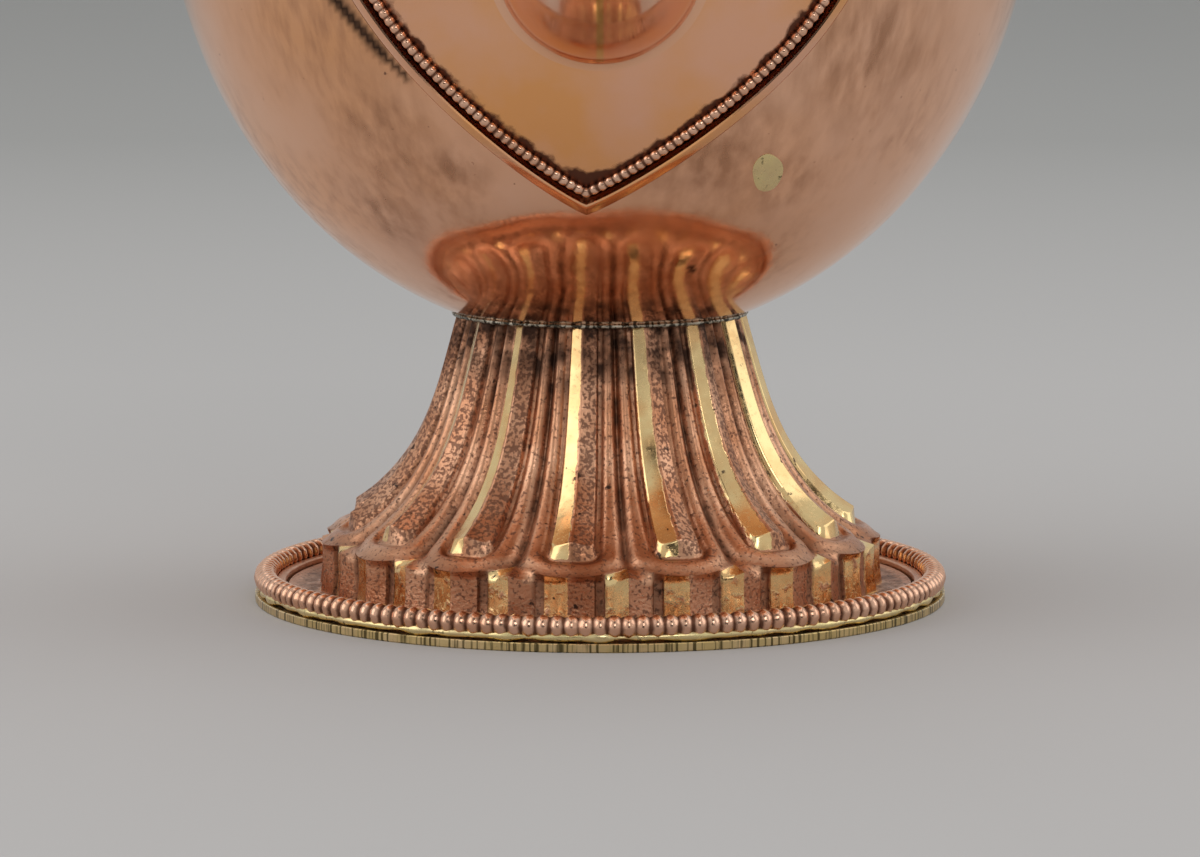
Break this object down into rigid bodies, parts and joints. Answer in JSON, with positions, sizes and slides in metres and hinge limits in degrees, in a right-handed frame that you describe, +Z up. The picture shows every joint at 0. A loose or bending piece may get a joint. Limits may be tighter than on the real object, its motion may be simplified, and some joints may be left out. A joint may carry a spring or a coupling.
{
  "type": "spouted ritual vase",
  "caption": "Spouted ritual water vase of raised copper: fluted lotus foot, egg-shaped body, leaf-shaped spout plate, ringed neck, drip dish and flared mouth.",
  "frame": {"origin": "centre of the underside of the base disc", "axes": "+Z up the vase's axis to the mouth; the spout points to -Y, towards the picture's camera"},
  "size_m": [0.1118, 0.1581, 0.2154],
  "materials": {
    "polished_copper": "polished copper with fine brushed scratches",
    "pitted_copper": "worn, pitted copper with dark grime in the grooves",
    "trim_copper": "milled copper wire, bright on the beads and dark between them",
    "yellow_brass": "filed yellow brass",
    "grey_solder": "dull grey solder"
  },
  "bodies": {
    "root": {"base_disc": "yellow_brass", "rim_ledge_ring": "pitted_copper", "rim_milled_wire": "trim_copper", "lotus_foot_shell": "pitted_copper", "foot_solder_ring": "grey_solder", "lower_bowl": "polished_copper", "upper_bowl": "polished_copper", "bowl_plug": "yellow_brass", "spout_plate": "polished_copper", "plate_milled_wire": "trim_copper", "spout_tube": "polished_copper", "spout_lip_wire": "trim_copper", "shoulder_petal_collar": "pitted_copper", "collar_milled_wire": "trim_copper", "neck_tube": "polished_copper", "neck_knop": "yellow_brass", "drip_dish": "polished_copper", "dish_milled_wire": "trim_copper", "mouth_cup": "polished_copper", "mouth_milled_wire": "trim_copper"}
  },
  "joints": []
}
